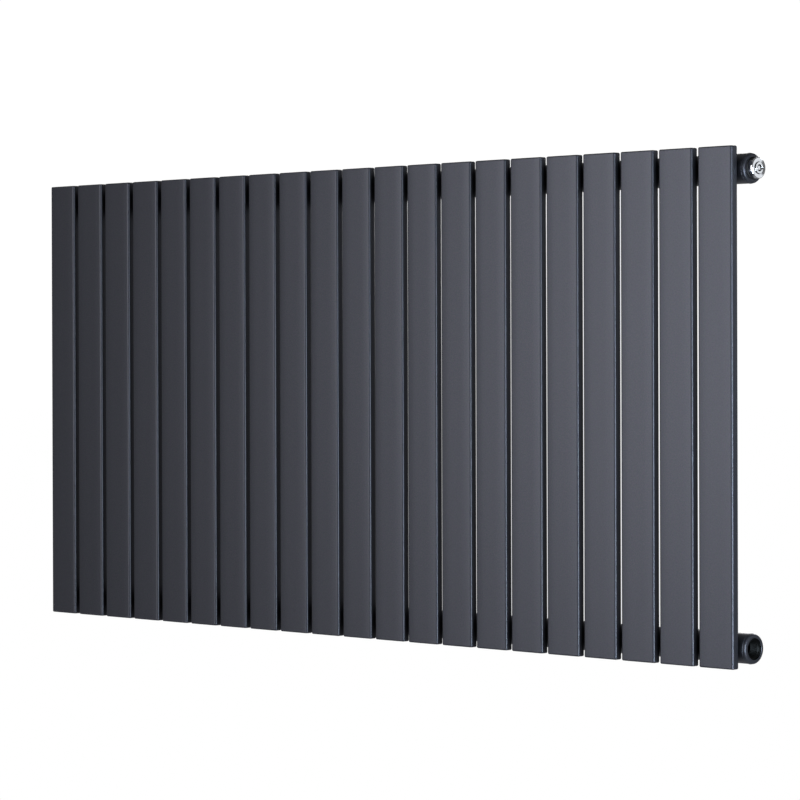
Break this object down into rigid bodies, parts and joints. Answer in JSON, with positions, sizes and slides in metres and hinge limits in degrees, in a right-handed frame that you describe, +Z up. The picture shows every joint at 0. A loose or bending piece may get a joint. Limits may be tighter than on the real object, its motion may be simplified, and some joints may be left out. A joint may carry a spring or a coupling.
{
  "type": "radiator",
  "caption": "Horizontal flat-panel steel radiator with upright panels on two round headers, chrome air vent, threaded end ports and wall brackets.",
  "frame": {"origin": "on the wall, midway along the radiator and midway between the two headers' axes", "axes": "+X along the radiator, to the right as seen from the room; +Y to the wall; +Z up"},
  "size_m": [1.264, 0.085, 0.6],
  "materials": {
    "powder_coat": "satin metallic anthracite powder coat on steel",
    "chrome_plate": "bright chrome plate on brass",
    "zinc_plate": "bright zinc plate on steel",
    "nylon": "moulded black nylon",
    "rubber": "matt black EPDM"
  },
  "bodies": {
    "wall_fixing": {"wall_bracket_top_left": "powder_coat", "bracket_bolt_top_left": "zinc_plate", "bracket_nut_top_left": "zinc_plate", "bracket_sleeve_top_left": "nylon", "wall_bracket_top_right": "powder_coat", "bracket_bolt_top_right": "zinc_plate", "bracket_nut_top_right": "zinc_plate", "bracket_sleeve_top_right": "nylon", "wall_bracket_bottom_left": "powder_coat", "bracket_bolt_bottom_left": "zinc_plate", "bracket_nut_bottom_left": "zinc_plate", "bracket_sleeve_bottom_left": "nylon", "wall_bracket_bottom_right": "powder_coat", "bracket_bolt_bottom_right": "zinc_plate", "bracket_nut_bottom_right": "zinc_plate", "bracket_sleeve_bottom_right": "nylon"},
    "radiator": {"panel_01": "powder_coat", "panel_02": "powder_coat", "panel_03": "powder_coat", "panel_04": "powder_coat", "panel_05": "powder_coat", "panel_06": "powder_coat", "panel_07": "powder_coat", "panel_08": "powder_coat", "panel_09": "powder_coat", "panel_10": "powder_coat", "panel_11": "powder_coat", "panel_12": "powder_coat", "panel_13": "powder_coat", "panel_14": "powder_coat", "panel_15": "powder_coat", "panel_16": "powder_coat", "panel_17": "powder_coat", "panel_18": "powder_coat", "panel_19": "powder_coat", "panel_20": "powder_coat", "panel_21": "powder_coat", "header_top": "powder_coat", "header_bottom": "powder_coat", "port_bush_top_left": "powder_coat", "port_bush_top_right": "powder_coat", "port_bush_bottom_left": "powder_coat", "port_bush_bottom_right": "powder_coat", "hanging_lug_top_left": "powder_coat", "hanging_lug_top_right": "powder_coat", "hanging_lug_bottom_left": "powder_coat", "hanging_lug_bottom_right": "powder_coat", "vent_body": "chrome_plate", "vent_seal": "rubber", "blanking_plug": "chrome_plate", "blanking_plug_seal": "rubber"},
    "vent_outlet": {"vent_outlet_disc": "chrome_plate"},
    "bleed_screw": {"bleed_screw": "chrome_plate"}
  },
  "joints": [
    {"name": "lift_off", "type": "slide", "parent": "wall_fixing", "child": "radiator", "axis": [0, 0, 1], "range_m": [0, 0.02]},
    {"name": "outlet_turn", "type": "hinge", "parent": "radiator", "child": "vent_outlet", "pos_m": [0.628, -0.055, 0.276], "axis": [1, 0, 0], "continuous": true},
    {"name": "bleed_turn", "type": "hinge", "parent": "radiator", "child": "bleed_screw", "pos_m": [0.628, -0.055, 0.276], "axis": [1, 0, 0], "range_deg": [0, 360]}
  ]
}
